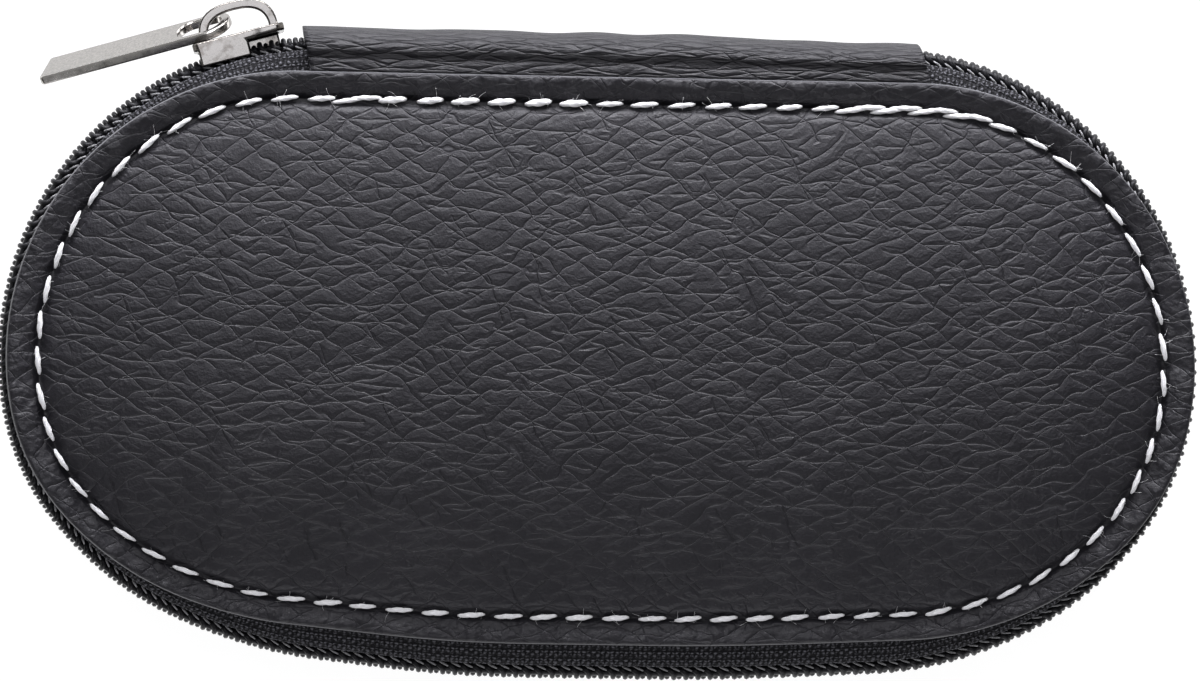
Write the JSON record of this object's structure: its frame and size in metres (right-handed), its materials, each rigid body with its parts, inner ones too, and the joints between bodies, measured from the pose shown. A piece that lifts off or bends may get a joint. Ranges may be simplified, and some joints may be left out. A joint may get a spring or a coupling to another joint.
{
  "type": "manicure set case",
  "caption": "Oval zip-around manicure set case with two padded leather panels, a leather spine, a nylon coil zip with a long plain pull, and elastic tool loops inside.",
  "frame": {"origin": "middle of the flat of the back panel, where the closed case rests", "axes": "+X along the case to the end away from the slider, +Y towards the spine, +Z from the back panel to the front panel"},
  "size_m": [0.1186, 0.0669, 0.021],
  "materials": {
    "leather": "pebbled black imitation leather, satin",
    "foam": "soft foam",
    "board": "plain grey board",
    "velour": "short black velour",
    "white_thread": "matt spun thread",
    "tape": "woven polyester tape",
    "nylon": "satin nylon monofilament",
    "elastic": "ribbed elastic",
    "black_thread": "matt spun thread",
    "nickel": "bright nickel plate, slightly worn"
  },
  "bodies": {
    "base": {"base_cover": "leather", "base_padding": "foam", "base_board": "board", "base_lining": "velour", "base_seam_thread": "white_thread", "base_bobbin_thread": "black_thread", "base_zip_tape": "tape", "base_zip_coil": "nylon", "base_spine_leaf": "leather", "base_spine_lining": "velour", "base_tool_loops": "elastic", "base_loop_tack_1": "black_thread", "base_loop_tack_2": "black_thread", "base_loop_tack_3": "black_thread", "base_loop_tack_4": "black_thread", "base_loop_tack_5": "black_thread", "base_loop_tack_6": "black_thread", "held_zip_tape": "tape", "held_zip_coil": "nylon"},
    "lid": {"lid_cover": "leather", "lid_padding": "foam", "lid_board": "board", "lid_lining": "velour", "lid_seam_thread": "white_thread", "lid_bobbin_thread": "black_thread", "lid_zip_tape": "tape", "lid_zip_coil": "nylon", "lid_spine_leaf": "leather", "lid_spine_lining": "velour", "lid_tool_loops": "elastic", "lid_loop_tack_1": "black_thread", "lid_loop_tack_2": "black_thread", "lid_loop_tack_3": "black_thread", "lid_loop_tack_4": "black_thread"},
    "slider": {"slider": "nickel"},
    "pull": {"pull": "nickel"}
  },
  "joints": [
    {"name": "lid_hinge", "type": "hinge", "parent": "base", "child": "lid", "pos_m": [0, 0.03295, 0.0105], "axis": [-1, 0, 0], "range_deg": [0, 180]},
    {"name": "slider_travel", "type": "hinge", "parent": "base", "child": "slider", "pos_m": [-0.0276, 0, 0.0105], "axis": [0, 0, 1], "range_deg": [0, 160]},
    {"name": "pull_swing", "type": "hinge", "parent": "slider", "child": "pull", "pos_m": [-0.03738, 0.03273, 0.01065], "axis": [0.1923, 0.441, -0.8767], "range_deg": [0, 120]}
  ]
}
